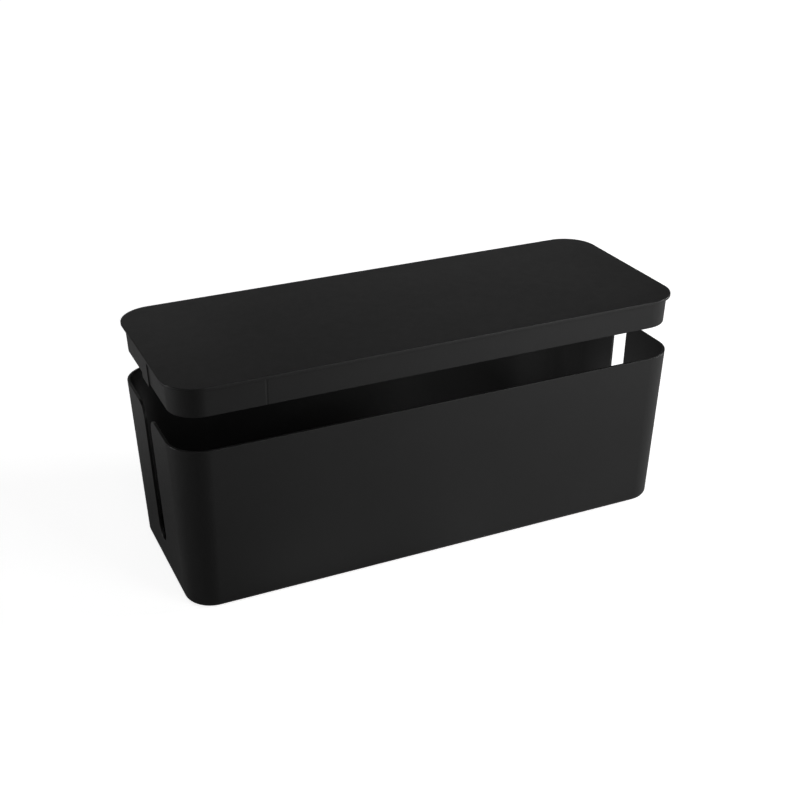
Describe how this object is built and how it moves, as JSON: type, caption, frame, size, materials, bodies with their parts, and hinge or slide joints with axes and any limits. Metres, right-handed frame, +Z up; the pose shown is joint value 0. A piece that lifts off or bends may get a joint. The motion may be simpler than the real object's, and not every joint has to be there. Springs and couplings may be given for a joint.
{
  "type": "cable management box",
  "caption": "Lidded rectangular box that hides a power strip and its chargers, with an open cable slot in each short end, a drop-in lid and rubber feet.",
  "frame": {"origin": "centre of the footprint, on the surface the feet stand on", "axes": "+X along the length between the two short ends, +Y from the front long wall to the rear one, +Z up towards the lid"},
  "size_m": [0.4008, 0.1554, 0.1796],
  "materials": {
    "box_plastic": "fine satin moulded texture",
    "lid_plastic": "fine satin moulded texture",
    "foot_rubber": "matt"
  },
  "bodies": {
    "box": {"box_body": "box_plastic", "foot_front_left": "foot_rubber", "foot_front_right": "foot_rubber", "foot_rear_left": "foot_rubber", "foot_rear_right": "foot_rubber"},
    "lid": {"lid": "lid_plastic"}
  },
  "joints": [
    {"name": "lid_lift", "type": "slide", "parent": "box", "child": "lid", "axis": [0, 0, 1], "range_m": [-0.045, 0.055]}
  ]
}
